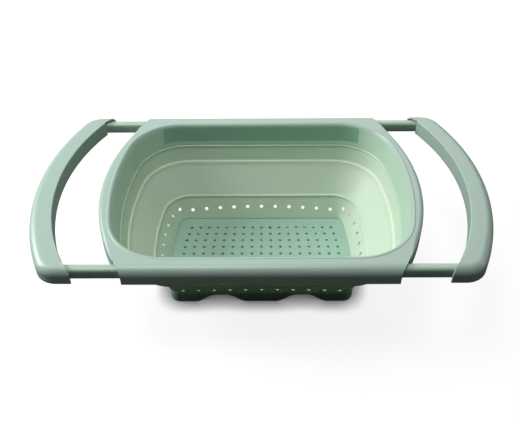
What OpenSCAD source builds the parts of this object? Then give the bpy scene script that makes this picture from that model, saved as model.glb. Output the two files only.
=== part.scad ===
// Collapsible over-the-sink colander with two slide-out bow handles.
// The origin is on the ground under the middle, +X runs along the handles' travel and +Z is up.
// A plan outline is a list [half length, half depth, end radius, corner radius]: two straight
// sides, two shallow end arcs and four corner arcs that are tangent to both.

/* [Frame] */
// Length of the frame over its two curved ends
frame_len = 368; // [306:1:442]
// Depth of the frame over its two straight rails
frame_depth = 282.8; // [235:0.1:340]
// Height of the frame's edge, all round
frame_h = 20.5; // [20:0.5:27]
// Radius of the frame's two curved ends
end_r = 257; // [240:1:310]
// Width of each straight rail, from the opening to the outside
rail_w = 21.9; // [21:0.1:27]
// Width of the rim at the middle of each curved end
rim_end_w = 16; // [13:0.5:24]
// Wall of the hard moulded pieces
shell_t = 2; // [1.6:0.1:2.4]
// Depth of the rim's lip over the collar
lip_h = 3.5; // [3:0.5:6]

/* [Opening] */
// End radius of the basket's opening
open_end_r = 330; // [300:5:400]
// Corner radius of the basket's opening
open_corner_r = 62; // [50:1:75]

/* [Basket wall] */
// Wall of the soft folding part
soft_t = 1.8; // [1.2:0.1:2.2]
// Height of the hard collar below the lip
collar_h = 28.5; // [24:0.5:36]
// Height of the soft band between the collar and the upper ridge
upper_h = 21; // [17:0.5:25]
// Height of the soft band that turns inside out
fold_h = 34; // [28:0.5:42]
// Height of the lower, pierced band
lower_h = 27.5; // [23:0.5:33]
// How far the collar's foot stands in from the opening, at the ends
collar_in_x = 6; // [3:0.5:8]
// How far the collar's foot stands in from the opening, at the sides
collar_in_y = 3.1; // [2:0.1:5]
// How far the upper ridge stands in, at the ends
upper_in_x = 11; // [9:0.5:14]
// How far the upper ridge stands in, at the sides
upper_in_y = 8; // [6:0.5:10]
// How far the lower ridge stands in, at the ends
fold_in_x = 38; // [34:0.5:42]
// How far the lower ridge stands in, at the sides
fold_in_y = 38.5; // [35:0.5:42]
// How far the floor's edge stands in, at the ends
floor_in_x = 55.5; // [51:0.5:60]
// How far the floor's edge stands in, at the sides
floor_in_y = 53.2; // [49:0.2:58]

/* [Base] */
// Height of the floor's edge above the ground
foot_h = 14.5; // [12:0.5:17]
// Corner radius of the floor
floor_corner_r = 10; // [8:1:16]
// End radius of the floor
floor_end_r = 330; // [300:10:500]
// Pitch of the floor's holes
floor_pitch = 12.3; // [10:0.1:15]
// Diameter of the floor's holes
floor_hole_d = 3.4; // [2.5:0.1:4.5]
// Pitch of the wall's drain holes
wall_pitch = 18.4; // [15:0.1:22]
// Diameter of the wall's drain holes
wall_hole_d = 4.6; // [3:0.1:5.5]

/* [Handles] */
// How far the handles are drawn out of their nested place
drawn_out = 50.8; // [40:0.1:61]
// Height of the bow
bow_h = 19; // [18:0.5:22]
// Width of the bow at its middle
bow_w = 25; // [20:0.5:30]
// Radius of the bow's outer arc
bow_r = 290; // [270:5:340]
// Radius of the bow's outer corners
bow_corner_r = 26; // [20:1:32]
// Width of a rod
rod_w = 10.2; // [8.5:0.1:11.4]
// Height of a rod
rod_h = 14; // [12:0.1:14.2]
// How deep a rod stands in its bow
socket_depth = 19; // [16:0.5:21]
// Distance from the rail's mouth to the rib that stops the rod
guide_span = 41; // [34:1:50]

/* [Fits] */
// Running clearance between a rod and its guides, on each side
rod_gap = 0.3; // [0.2:0.05:0.5]
// Gap left at each end of the handles' travel
end_gap = 0.5; // [0.3:0.1:1]
// Gap between the fold band and its neighbours while it travels
fold_gap = 0.5; // [0.3:0.1:0.8]
// Assembly clearance between pieces that don't move on each other
fit_gap = 0.2; // [0.1:0.05:0.3]

/* [Hidden] */
$fn = 72;
eps = 0.01;
mint = "#a9c6ba";
sage = "#9db596";
teal = "#6f9c87";
steel = "#b8bcc0";

// Heights, from the ground up
z_edge = foot_h;
z_lower = z_edge + lower_h;
z_upper = z_lower + fold_h;
z_collar = z_upper + upper_h;
z_lip = z_collar + collar_h;
z_top = z_lip + lip_h;
z_frame = z_top - frame_h;

// Plan outlines of the opening and of each ridge below it
open_x = frame_len / 2 - rim_end_w;
open_y = frame_depth / 2 - rail_w;
opening = [open_x, open_y, open_end_r, open_corner_r];
collar_foot = [open_x - collar_in_x, open_y - collar_in_y, open_end_r, open_corner_r - 2];
upper_ridge = [open_x - upper_in_x, open_y - upper_in_y, open_end_r, open_corner_r - 4];
lower_ridge = [open_x - fold_in_x, open_y - fold_in_y, open_end_r, open_corner_r - 28];
floor_edge = [open_x - floor_in_x, open_y - floor_in_y, floor_end_r, floor_corner_r];
end_steps = 6;
corner_steps = 9;

// Frame walls and the channel that a rod runs in
arc_cx = frame_len / 2 - end_r;
wall_y0 = open_y + shell_t + fit_gap;
channel_y0 = wall_y0 + shell_t;
channel_y1 = frame_depth / 2 - shell_t;
cover_t = 1.5;
z_cover = z_frame + cover_t;
z_channel = z_top - shell_t;
rib_t = 2;
ledge_h = 2.5;

// Outer outline of the two bows
bow_outer = [frame_len / 2 + drawn_out + bow_w, frame_depth / 2, bow_r, bow_corner_r];

// Rods, along the middle of the channel and clear of the bow's rounded corner
rod_y = (channel_y0 + channel_y1) / 2;
rod_drop = 0.6;
rod_z = (z_cover + z_channel) / 2 - rod_drop;
rod_z0 = rod_z - rod_h / 2;
rod_z1 = rod_z + rod_h / 2;
rod_corner_r = 3.5;
mouth_x = arc_x(rod_y);
travel_in = drawn_out - end_gap;
stop_len = 10;
stop_floor = 2;
stop_side_gap = 0.65;
stop_skin = 0.5;
stop_w = channel_y1 - channel_y0 - 2 * stop_side_gap;
stop_h = rod_h + 2 * (fit_gap + stop_skin);
stop_x0 = rib_t / 2 + end_gap + travel_in;
rod_x0 = stop_x0 + stop_floor;
rod_x1 = min(mouth_x + drawn_out + socket_depth,
  outline_x(bow_outer, -shell_t - end_gap, rod_y + rod_w / 2));
guide_x = mouth_x - guide_span;
travel_out = guide_x - end_gap - stop_x0 - stop_len;
mouth_rib_x = mouth_x - 7 * rib_t;
saddle_x = arc_x(channel_y0) + drawn_out + 1.5 * shell_t;

// Screws
screw_r = 1.5;
pilot_r = screw_r + 0.05;
clear_r = screw_r + 0.3;
head_r = 3;
head_h = 1.1;
boss_r = 4;
boss_h = 14;
boss_gap = 3.7;
boss_y = wall_y0 - boss_r - boss_gap;
boss_x = (arc_x(boss_y) + outline_x(opening, 2 * shell_t, boss_y)) / 2;
bow_screw_in = 6.5;
bow_screw_x = rod_x1 - bow_screw_in;

// Base
floor_t = 2;
floor_drop = 1;
arch_h = foot_h - floor_drop - floor_t - fit_gap;
arch_side_share = 0.4;
foot_mid = 17;
side_arch_share = 0.705;
end_arch_share = 0.47;
arch_end = floor_edge[0] * side_arch_share;
end_arch = floor_edge[1] * end_arch_share;

// X of the frame's end arc at a given y
function arc_x(y) = arc_cx + sqrt(end_r * end_r - y * y);

// An outline moved out by a distance, and one part of the way between two
function grown(o, off) = [for (v = o) v + off];
function mix(o1, o2, t) = [for (i = [0:3]) o1[i] + (o2[i] - o1[i]) * t];

// Centre of an outline's end arc and of its first corner arc
function end_c(o) = o[0] - o[2];
function corner_c(o) = end_c(o) + sqrt(pow(o[2] - o[3], 2) - pow(o[1] - o[3], 2));
function tangent_a(o) = atan2(o[1] - o[3], corner_c(o) - end_c(o));

// X of an outline, moved out, at a y beside its corner arc
function outline_x(o, off, y) = corner_c(o) + sqrt(pow(o[3] + off, 2) - pow(max(y - o[1] + o[3], 0), 2));

// Points of the first quarter, from the +X end to the +Y side
function quarter(o) = concat(
  [for (i = [0:end_steps - 1]) let (a = tangent_a(o) * i / end_steps)
    [end_c(o) + o[2] * cos(a), o[2] * sin(a)]],
  [for (i = [0:corner_steps]) let (a = tangent_a(o) + (90 - tangent_a(o)) * i / corner_steps)
    [corner_c(o) + o[3] * cos(a), o[1] - o[3] + o[3] * sin(a)]]);

// All points of an outline, anticlockwise
function outline(o) = let (q = quarter(o), n = len(q)) concat(
  q,
  [for (i = [n - 1:-1:0]) [-q[i][0], q[i][1]]],
  [for (i = [1:n - 1]) [-q[i][0], -q[i][1]]],
  [for (i = [n - 1:-1:1]) [q[i][0], -q[i][1]]]);

// Closed shell: each profile entry is [outline, offset, z], listed anticlockwise in the
// half plane with the outward direction to the right
module ring_shell(profile) {
  rings = [for (p = profile) outline(grown(p[0], p[1]))];
  m = len(profile);
  n = len(rings[0]);
  points = [for (k = [0:m - 1]) for (i = [0:n - 1]) [rings[k][i][0], rings[k][i][1], profile[k][2]]];
  faces = [for (k = [0:m - 1]) for (i = [0:n - 1])
    let (a = k * n + i, b = k * n + (i + 1) % n, k2 = (k + 1) % m)
    let (c = k2 * n + (i + 1) % n, d = k2 * n + i)
    for (f = [[a, c, b], [a, d, c]]) f];
  polyhedron(points = points, faces = faces, convexity = 6);
}

module outline_plan(o, off = 0) {
  polygon(outline(grown(o, off)));
}

// The frame's plan: two straight sides between two arcs
module frame_plan(off = 0) {
  intersection() {
    square([frame_len + 2, frame_depth + 2 * off], center = true);
    translate([arc_cx, 0]) circle(r = end_r + off);
    translate([-arc_cx, 0]) circle(r = end_r + off);
  }
}

module box(x0, x1, y0, y1, z0, z1) {
  translate([x0, y0, z0]) cube([x1 - x0, y1 - y0, z1 - z0]);
}

module both_ends() {
  children();
  mirror([1, 0, 0]) children();
}

module both_sides() {
  children();
  mirror([0, 1, 0]) children();
}

module screw(x, y, z, length) {
  translate([x, y, z - head_h]) cylinder(r = head_r, h = head_h);
  translate([x, y, z - eps]) cylinder(r = screw_r, h = length + eps);
}

// Walls of the frame, before the rods' mouths are cut
module frame_walls() {
  translate([0, 0, z_channel]) linear_extrude(shell_t) difference() {
    frame_plan();
    outline_plan(opening, shell_t);
  }
  translate([0, 0, z_frame]) linear_extrude(frame_h) difference() {
    frame_plan();
    frame_plan(-shell_t);
  }
  translate([0, 0, z_frame]) linear_extrude(frame_h) difference() {
    outline_plan(opening, 2 * shell_t + fit_gap);
    outline_plan(opening, shell_t + fit_gap);
  }
  translate([0, 0, z_lip]) linear_extrude(lip_h) difference() {
    outline_plan(opening, shell_t + fit_gap + eps);
    outline_plan(opening);
  }
}

// Straight inner wall of one rail, beyond the opening's corners
module rail_wall() {
  translate([0, 0, z_cover]) linear_extrude(z_top - z_cover) difference() {
    intersection() {
      frame_plan(-eps);
      translate([-frame_len, wall_y0]) square([2 * frame_len, shell_t]);
    }
    outline_plan(opening, shell_t + fit_gap);
  }
}

module guide_rib(x) {
  difference() {
    box(x, x + rib_t, channel_y0 - eps, channel_y1 + eps, z_cover, z_channel + eps);
    box(x - 1, x + rib_t + 1, rod_y - rod_w / 2 - rod_gap, rod_y + rod_w / 2 + rod_gap,
      z_cover - 1, rod_z1 + rod_gap);
  }
}

module cover_boss() {
  difference() {
    translate([boss_x, boss_y, z_cover]) cylinder(r = boss_r, h = z_channel - z_cover + eps);
    translate([boss_x, boss_y, z_cover - 1]) cylinder(r = pilot_r, h = boss_h);
  }
}

module rim_frame() {
  color(mint) {
    difference() {
      union() {
        frame_walls();
        both_sides() rail_wall();
      }
      both_ends() both_sides()
        box(guide_x, frame_len, channel_y0, channel_y1, z_frame - 1, z_channel);
    }
    both_sides() {
      box(-rib_t / 2, rib_t / 2, channel_y0 - eps, channel_y1 + eps, z_cover, z_channel + eps);
      both_ends() {
        guide_rib(guide_x);
        guide_rib(mouth_rib_x);
        cover_boss();
      }
    }
  }
}

// Cover under the rear rail: a strip, two screw ears and a pad under each rod guide
module rail_cover() {
  difference() {
    translate([0, 0, z_frame]) linear_extrude(cover_t) union() {
      intersection() {
        frame_plan(-shell_t - fit_gap);
        translate([-frame_len, channel_y0 + fit_gap]) square([2 * frame_len, frame_depth]);
      }
      both_ends() {
        translate([boss_x, boss_y]) circle(r = boss_r + 1.6);
        translate([boss_x - boss_r, boss_y]) square([2 * boss_r, channel_y0 + 1 - boss_y]);
      }
    }
    both_ends() translate([boss_x, boss_y, z_frame - 1]) cylinder(r = clear_r, h = cover_t + 2);
  }
  both_ends() for (x = [guide_x, mouth_rib_x])
    box(x, x + rib_t, rod_y - rod_w / 2, rod_y + rod_w / 2, z_cover - eps, rod_z0 - rod_gap);
}

module front_rail_cover() {
  color(teal) mirror([0, 1, 0]) rail_cover();
}

module rear_rail_cover() {
  color(teal) rail_cover();
}

module cover_screws() {
  both_ends() screw(boss_x, boss_y, z_frame, boss_h - 1);
}

module front_cover_screws() {
  color(steel) mirror([0, 1, 0]) cover_screws();
}

module rear_cover_screws() {
  color(steel) cover_screws();
}

// Hard inner collar, held between the rim's lip and the foot of the frame's inner wall
module basket_collar() {
  color(teal) {
    t0 = (z_lip - z_frame) / collar_h;
    t1 = (z_lip - z_frame + ledge_h) / collar_h;
    ring_shell([
      [opening, 0, z_lip],
      [collar_foot, 0, z_collar],
      [collar_foot, shell_t, z_collar],
      [mix(opening, collar_foot, t1), shell_t, z_frame - ledge_h],
      [opening, 2 * shell_t + fit_gap, z_frame - ledge_h],
      [opening, 2 * shell_t + fit_gap, z_frame],
      [mix(opening, collar_foot, t0), shell_t, z_frame],
      [opening, shell_t, z_lip]]);
  }
}

bead_h = 2.2;
bead_t = soft_t + 0.8;

module upper_wall_band() {
  color(sage) ring_shell([
    [collar_foot, 0, z_collar],
    [upper_ridge, 0, z_upper - bead_h],
    [upper_ridge, bead_t, z_upper - bead_h],
    [upper_ridge, bead_t, z_upper + bead_h],
    [upper_ridge, soft_t, z_upper + 2 * bead_h],
    [collar_foot, soft_t, z_collar]]);
}

// The fold band is cut back at both edges, so that it can travel between its neighbours
fold_run = fold_in_x - upper_in_x;
fold_skin = [soft_t * 0.78, soft_t * 0.65];
fold_t0 = (fold_skin[0] + fold_gap) / fold_run;
fold_t1 = 1 - (soft_t + fold_gap) / fold_run;

module fold_wall_band() {
  top = mix(upper_ridge, lower_ridge, fold_t0);
  bottom = mix(upper_ridge, lower_ridge, fold_t1);
  z0 = z_upper - fold_h * fold_t0;
  z1 = z_upper - fold_h * fold_t1;
  color(sage) ring_shell([
    [top, 0, z0],
    [bottom, 0, z1],
    [bottom, fold_skin[0], z1 - fold_skin[1]],
    [top, fold_skin[0], z0 - fold_skin[1]]]);
}

// Drain holes, square to the wall: a row on each side, lower towards its ends, a row on each
// end and two at each corner. Their places down the wall are shares of the lower band's height.
drain_mid = 0.48;
drain_dip = 0.14;
drain_corner = 0.5;
drain_end = 0.43;
drain_margin = 3;
drain_tilt = atan((lower_ridge[1] - floor_edge[1]) / lower_h);
drain_sides = floor((corner_c(wall_at(drain_mid)) - drain_margin) / wall_pitch);
drain_ends = floor((tangent_y(wall_at(drain_end)) - drain_margin) / wall_pitch);
corner_angles = [52, 12];

function wall_at(t) = mix(lower_ridge, floor_edge, t);
function tangent_y(o) = o[2] * sin(tangent_a(o));
function side_share(i) = drain_mid + drain_dip * pow(i / drain_sides, 2);

module drain_hole(share, x, y, turn) {
  translate([x, y, z_lower - share * lower_h]) rotate([0, 90 + drain_tilt, turn])
    cylinder(d = wall_hole_d, h = 6 * soft_t, center = true);
}

module drain_holes() {
  end = wall_at(drain_end);
  corner = wall_at(drain_corner);
  both_sides() for (i = [-drain_sides:drain_sides])
    drain_hole(side_share(i), i * wall_pitch, wall_at(side_share(i))[1], 90);
  both_ends() for (i = [-drain_ends:drain_ends])
    drain_hole(drain_end, end_c(end) + sqrt(end[2] * end[2] - pow(i * wall_pitch, 2)),
      i * wall_pitch, 0);
  both_ends() both_sides() for (a = corner_angles)
    drain_hole(drain_corner, corner_c(corner) + corner[3] * cos(a),
      corner[1] - corner[3] + corner[3] * sin(a), a);
}

module lower_wall_band() {
  rise = 1.5;
  color(sage) difference() {
    ring_shell([
      [lower_ridge, 0, z_lower + rise],
      [lower_ridge, 0, z_lower],
      [floor_edge, 0, z_edge],
      [floor_edge, soft_t, z_edge],
      [lower_ridge, soft_t, z_lower],
      [lower_ridge, soft_t, z_lower + rise]]);
    drain_holes();
  }
}

// Grid of floor holes; the rows draw in a little away from the middle
module floor_holes() {
  rows = floor((floor_edge[1] - floor_corner_r) / floor_pitch);
  columns = floor((floor_edge[0] - 0.75 * floor_corner_r) / floor_pitch);
  draw_in = 0.004;
  for (row = [-rows:rows]) for (column = [-columns:columns])
    translate([column * floor_pitch * (1 - draw_in * row * row), row * floor_pitch])
      circle(d = floor_hole_d);
}

// Arch between two feet, with S-shaped sides
module arch_plan(x0, x1) {
  steps = 10;
  side = arch_side_share * (x1 - x0);
  rise = [for (i = [0:steps]) [x0 + side * i / steps, arch_h * (1 - cos(180 * i / steps)) / 2]];
  fall = [for (i = [steps:-1:0]) [x1 - side * i / steps, arch_h * (1 - cos(180 * i / steps)) / 2]];
  polygon(concat([[x0, -1]], rise, fall, [[x1, -1]]));
}

module base() {
  color(teal) {
    translate([0, 0, z_edge - floor_drop - floor_t]) linear_extrude(floor_t) difference() {
      outline_plan(floor_edge, shell_t - eps);
      floor_holes();
    }
    difference() {
      linear_extrude(foot_h) difference() {
        outline_plan(floor_edge, shell_t);
        outline_plan(floor_edge);
      }
      both_ends() rotate([90, 0, 0])
        linear_extrude(frame_depth, center = true) arch_plan(foot_mid, arch_end);
      rotate([90, 0, 90])
        linear_extrude(frame_len, center = true) arch_plan(-end_arch, end_arch);
    }
  }
}

// Bow: an open-bottomed shell between the frame's end arc, moved out, and its own outer arc
z_bow = z_top - bow_h;
bow_ribs = 5;

module bow_plan(off = 0) {
  difference() {
    intersection() {
      outline_plan(bow_outer, off);
      translate([0, -frame_depth]) square([frame_len, 2 * frame_depth]);
    }
    translate([arc_cx + drawn_out, 0]) circle(r = end_r - off);
  }
}

// Saddle that holds a rod's end: a pad over the rod and a cheek on each side
module rod_saddle() {
  cheek = 1.6;
  difference() {
    box(saddle_x, rod_x1, rod_y - rod_w / 2, rod_y + rod_w / 2, rod_z1, z_channel + eps);
    translate([bow_screw_x, rod_y, rod_z1 - 1]) cylinder(r = pilot_r, h = z_channel - rod_z1 + 0.5);
  }
  for (y = [rod_y - rod_w / 2 - fit_gap - cheek, rod_y + rod_w / 2 + fit_gap])
    box(saddle_x, rod_x1, y, y + cheek, rod_z, z_channel + eps);
}

module bow() {
  difference() {
    translate([0, 0, z_bow]) linear_extrude(bow_h) bow_plan();
    translate([0, 0, z_bow - 1]) linear_extrude(bow_h - shell_t + 1) bow_plan(-shell_t);
    both_sides() box(0, saddle_x, channel_y0, channel_y1, z_bow - 1, z_channel);
  }
  intersection() {
    translate([0, 0, z_bow]) linear_extrude(bow_h) bow_plan(-eps);
    for (i = [0:bow_ribs - 1]) let (y = (i - (bow_ribs - 1) / 2) * frame_depth / (bow_ribs + 1.5))
      box(0, frame_len, y - shell_t / 2, y + shell_t / 2, z_bow + 3, z_top - shell_t / 2);
  }
  both_sides() rod_saddle();
}

module left_bow() {
  color(mint) mirror([1, 0, 0]) bow();
}

module right_bow() {
  color(mint) bow();
}

// Rod at +X, +Y: a bar with rounded edges and a hole for its screw
module rod() {
  r = rod_corner_r;
  difference() {
    translate([rod_x0, rod_y, rod_z]) rotate([90, 0, 90]) linear_extrude(rod_x1 - rod_x0) union() {
      square([rod_w - 2 * r, rod_h], center = true);
      square([rod_w, rod_h - 2 * r], center = true);
      for (sx = [-1, 1]) for (sy = [-1, 1])
        translate([sx * (rod_w / 2 - r), sy * (rod_h / 2 - r)]) circle(r = r);
    }
    translate([bow_screw_x, rod_y, rod_z0 - 1]) cylinder(r = clear_r, h = rod_h + 2);
  }
}

// Block snapped over a rod's inner end, too big for the guide rib
module rod_stop() {
  difference() {
    translate([stop_x0, rod_y - stop_w / 2, rod_z - stop_h / 2]) cube([stop_len, stop_w, stop_h]);
    box(rod_x0, stop_x0 + stop_len + 1, rod_y - rod_w / 2 - fit_gap, rod_y + rod_w / 2 + fit_gap,
      rod_z0 - fit_gap, rod_z1 + fit_gap);
  }
}

module bow_screws() {
  both_sides() screw(bow_screw_x, rod_y, rod_z0, z_channel - rod_z0 - 1);
}

module left_front_rod() {
  color(mint) mirror([1, 0, 0]) mirror([0, 1, 0]) rod();
}

module left_rear_rod() {
  color(mint) mirror([1, 0, 0]) rod();
}

module right_front_rod() {
  color(mint) mirror([0, 1, 0]) rod();
}

module right_rear_rod() {
  color(mint) rod();
}

module left_front_stop() {
  color(teal) mirror([1, 0, 0]) mirror([0, 1, 0]) rod_stop();
}

module left_rear_stop() {
  color(teal) mirror([1, 0, 0]) rod_stop();
}

module right_front_stop() {
  color(teal) mirror([0, 1, 0]) rod_stop();
}

module right_rear_stop() {
  color(teal) rod_stop();
}

module left_bow_screws() {
  color(steel) mirror([1, 0, 0]) bow_screws();
}

module right_bow_screws() {
  color(steel) bow_screws();
}

rim_frame();
front_rail_cover();
rear_rail_cover();
front_cover_screws();
rear_cover_screws();
basket_collar();
upper_wall_band();
fold_wall_band();
lower_wall_band();
base();
left_bow();
right_bow();
left_front_rod();
left_rear_rod();
right_front_rod();
right_rear_rod();
left_front_stop();
left_rear_stop();
right_front_stop();
right_rear_stop();
left_bow_screws();
right_bow_screws();
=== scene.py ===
from math import atan2, cos, pi, radians, sin, sqrt

import bmesh
import bpy
from mathutils import Matrix, Vector


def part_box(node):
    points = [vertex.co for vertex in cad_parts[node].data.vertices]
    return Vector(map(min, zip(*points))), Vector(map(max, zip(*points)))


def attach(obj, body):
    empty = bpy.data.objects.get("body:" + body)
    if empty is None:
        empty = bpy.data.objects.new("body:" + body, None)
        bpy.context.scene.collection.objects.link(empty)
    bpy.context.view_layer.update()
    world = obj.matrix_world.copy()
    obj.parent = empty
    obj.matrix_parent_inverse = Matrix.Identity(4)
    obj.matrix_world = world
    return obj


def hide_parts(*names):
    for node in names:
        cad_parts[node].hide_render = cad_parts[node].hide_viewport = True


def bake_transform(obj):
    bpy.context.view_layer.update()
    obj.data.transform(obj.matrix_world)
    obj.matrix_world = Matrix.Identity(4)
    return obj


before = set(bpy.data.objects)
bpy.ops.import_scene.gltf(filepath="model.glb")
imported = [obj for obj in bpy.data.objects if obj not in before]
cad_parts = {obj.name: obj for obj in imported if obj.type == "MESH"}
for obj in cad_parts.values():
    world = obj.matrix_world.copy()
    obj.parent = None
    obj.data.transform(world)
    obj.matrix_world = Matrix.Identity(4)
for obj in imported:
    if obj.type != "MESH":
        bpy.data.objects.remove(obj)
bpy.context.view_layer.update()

mm = 0.001

# --- Where it stands -----------------------------------------------------------------------
# A pale worktop with soft daylight from the left. The camera stands in front of the long
# side and looks down into the basket.

rim_low, rim_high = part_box("rim_frame")
z_top = rim_high.z


def place_camera():
    distance = 596.8 * mm
    height = 471.9 * mm
    aside = 1.34 * mm
    pitch = radians(40.82)
    turn = radians(-0.54)
    roll = radians(-0.57)
    data = bpy.data.cameras.new("camera")
    data.sensor_fit = "HORIZONTAL"
    data.sensor_width = 36
    data.lens = 45.58
    data.clip_start = 0.02
    camera = bpy.data.objects.new("camera", data)
    bpy.context.collection.objects.link(camera)
    x = -aside * cos(turn) - distance * sin(turn)
    y = aside * sin(turn) - distance * cos(turn)
    facing = Matrix.Rotation(-turn, 4, "Z") @ Matrix.Rotation(pi / 2 - pitch, 4, "X")
    camera.matrix_world = (Matrix.Translation((x, y, z_top + height)) @ facing
                           @ Matrix.Rotation(roll, 4, "Z"))
    bpy.context.scene.camera = camera


def soft_box(name, place, target, size, watts):
    data = bpy.data.lights.new(name, "AREA")
    data.shape = "SQUARE"
    data.size = size
    data.energy = watts
    lamp = bpy.data.objects.new(name, data)
    bpy.context.collection.objects.link(lamp)
    lamp.location = place
    lamp.rotation_euler = (Vector(target) - Vector(place)).to_track_quat("-Z", "Y").to_euler()


def pale_world(brightness):
    world = bpy.data.worlds.new("pale_world")
    world.use_nodes = True
    background = world.node_tree.nodes["Background"]
    background.inputs["Color"].default_value = (0.97, 0.985, 1, 1)
    background.inputs["Strength"].default_value = brightness
    bpy.context.scene.world = world


def pale_floor(width):
    """A worktop that the camera sees as nearly white, but that throws little light back. In narrow
    gaps, such as those between the feet, its glow is dimmed as painted contact shadow."""
    mesh = bpy.data.meshes.new("worktop")
    bm = bmesh.new()
    bmesh.ops.create_grid(bm, x_segments=2, y_segments=2, size=width / 2)
    bm.to_mesh(mesh)
    bm.free()
    worktop = bpy.data.objects.new("worktop", mesh)
    bpy.context.collection.objects.link(worktop)
    material = bpy.data.materials.new("worktop_white")
    material.use_nodes = True
    nodes, links = material.node_tree.nodes, material.node_tree.links
    shader = nodes["Principled BSDF"]
    shader.inputs["Roughness"].default_value = 0.9
    shader.inputs["Specular IOR Level"].default_value = 0.1
    path = nodes.new("ShaderNodeLightPath")
    paint = nodes.new("ShaderNodeMix")
    paint.data_type = "RGBA"
    paint.inputs["A"].default_value = (0.06, 0.065, 0.06, 1)
    paint.inputs["B"].default_value = (0.18, 0.18, 0.18, 1)
    links.new(path.outputs["Is Camera Ray"], paint.inputs["Factor"])
    links.new(paint.outputs["Result"], shader.inputs["Base Color"])
    glow = nodes.new("ShaderNodeMix")
    glow.data_type = "RGBA"
    glow.inputs["A"].default_value = (0, 0, 0, 1)
    links.new(path.outputs["Is Camera Ray"], glow.inputs["Factor"])
    links.new(glow.outputs["Result"], shader.inputs["Emission Color"])
    # Painted contact shadow: the glow falls off with ambient occlusion near the basket.
    gap_occlusion = nodes.new("ShaderNodeAmbientOcclusion")
    gap_occlusion.samples = 8
    gap_occlusion.inputs["Distance"].default_value = 22 * mm
    painted_gap_shadow = nodes.new("ShaderNodeMath")
    painted_gap_shadow.operation = "POWER"
    painted_gap_shadow.inputs[1].default_value = 2
    links.new(gap_occlusion.outputs["AO"], painted_gap_shadow.inputs[0])
    links.new(painted_gap_shadow.outputs["Value"], glow.inputs["B"])
    shader.inputs["Emission Strength"].default_value = 0.87
    mesh.materials.append(material)


bpy.context.scene.view_settings.view_transform = "Standard"
place_camera()
pale_world(0.05)
pale_floor(12)
basket_middle = (0, 0, 0.08)
soft_box("window", (-1.55, 0.35, 0.95), basket_middle, 0.8, 36)
soft_box("ceiling", (-0.25, -0.15, 1.7), basket_middle, 0.7, 14)
soft_box("back_panel", (0.25, 1.75, 1.4), basket_middle, 1.6, 15)
soft_box("far_wall", (1.5, 0.1, 0.75), basket_middle, 0.7, 3)

# --- Rim frame -----------------------------------------------------------------------------
# One polypropylene moulding with 2 mm walls: two straight rails, two shallow curved ends, a
# rolled lip round the opening, and inside it the ribs and bosses that guide the rods.

shell = 2 * mm
rail_edge = 10 * mm
end_edge = 5 * mm
lip_roll = (4.6 * mm, 6 * mm)
lip_rise = 0.5 * mm
half_length = 184 * mm
half_depth = rim_high.y
z_frame = rim_low.z
z_flat = z_top - lip_rise
end_radius = 257 * mm
end_centre = half_length - end_radius
opening = (168 * mm, 119.5 * mm, 330 * mm, 62 * mm)
z_lip = z_top - 3.5 * mm
waist_y = 125.4 * mm
seam = 0.01 * mm
fine_seam = seam / 2
END_STEPS, CORNER_STEPS, SIDE_STEPS = 12, 16, 14
END_PART = END_STEPS + CORNER_STEPS // 2


def end_x(y):
    return end_centre + sqrt(end_radius**2 - y * y)


def lip_flare(z):
    """How far the rolled edge of the opening has opened out at a height."""
    wide, deep = lip_roll
    sunk = min((z_top - z) / deep, 1)
    return wide * (1 - sqrt(1 - (1 - sunk) ** 2))


def plan_quarter(shape, off=0.0, steps=(END_STEPS, CORNER_STEPS, SIDE_STEPS)):
    """First quarter of a plan outline, from the +X end to the +Y side: a shallow end arc, a
    corner arc tangent to it, and half of the straight side."""
    half_x, half_y, end_r, corner_r = (value + off for value in shape)
    corner_r = max(corner_r, 0.05 * mm)
    end_c = half_x - end_r
    corner_x = end_c + sqrt((end_r - corner_r) ** 2 - (half_y - corner_r) ** 2)
    tangent = atan2(half_y - corner_r, corner_x - end_c)
    quarter = []
    on_end, on_corner, on_side = steps
    for i in range(on_end):
        a = tangent * i / on_end
        quarter.append((end_c + end_r * cos(a), end_r * sin(a)))
    for i in range(on_corner + 1):
        a = tangent + (pi / 2 - tangent) * i / on_corner
        quarter.append((corner_x + corner_r * cos(a), half_y - corner_r + corner_r * sin(a)))
    for i in range(1, on_side + 1):
        quarter.append((corner_x * (1 - i / on_side), half_y))
    return quarter


def all_quarters(quarter):
    """Mirrors a quarter outline, from the +X axis to the +Y axis, into a closed ring."""
    return (quarter + [(-x, y) for x, y in quarter[-2::-1]] + [(-x, -y) for x, y in quarter[1:]]
            + [(x, -y) for x, y in quarter[-2:0:-1]])


def draw_rings(bm, rings, closed=True):
    """Lays the first ring of points as edges and draws a wall from it through the rest. An open
    row has no edge from its last point back to its first."""
    place = bm.verts.layers.int.get("place") or bm.verts.layers.int.new("place")
    verts = [bm.verts.new(point) for point in rings[0]]
    for index, vert in enumerate(verts):
        vert[place] = index
    first = 0 if closed else 1
    edges = [bm.edges.new((verts[i - 1], verts[i])) for i in range(first, len(verts))]
    for ring in rings[1:]:
        drawn = bmesh.ops.extrude_edge_only(bm, edges=edges)["geom"]
        new = {item for item in drawn if isinstance(item, bmesh.types.BMVert)}
        edges = [item for item in drawn
                 if isinstance(item, bmesh.types.BMEdge) and new.issuperset(item.verts)]
        for vert in new:
            vert.co = ring[vert[place]]


def box_block(bm, x0, x1, y0, y1, z0, z1, round_off=0.0):
    made = bmesh.ops.create_cube(bm, size=1)["verts"]
    middle = Vector(((x0 + x1) / 2, (y0 + y1) / 2, (z0 + z1) / 2))
    size = Matrix.Diagonal((abs(x1 - x0), abs(y1 - y0), abs(z1 - z0), 1))
    bmesh.ops.transform(bm, matrix=Matrix.Translation(middle) @ size, verts=made)
    if round_off:
        edges = list({edge for vert in made for edge in vert.link_edges})
        bmesh.ops.bevel(bm, geom=edges, offset=round_off, offset_type="OFFSET", segments=2,
                        profile=0.5, affect="EDGES", material=-1)


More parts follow.
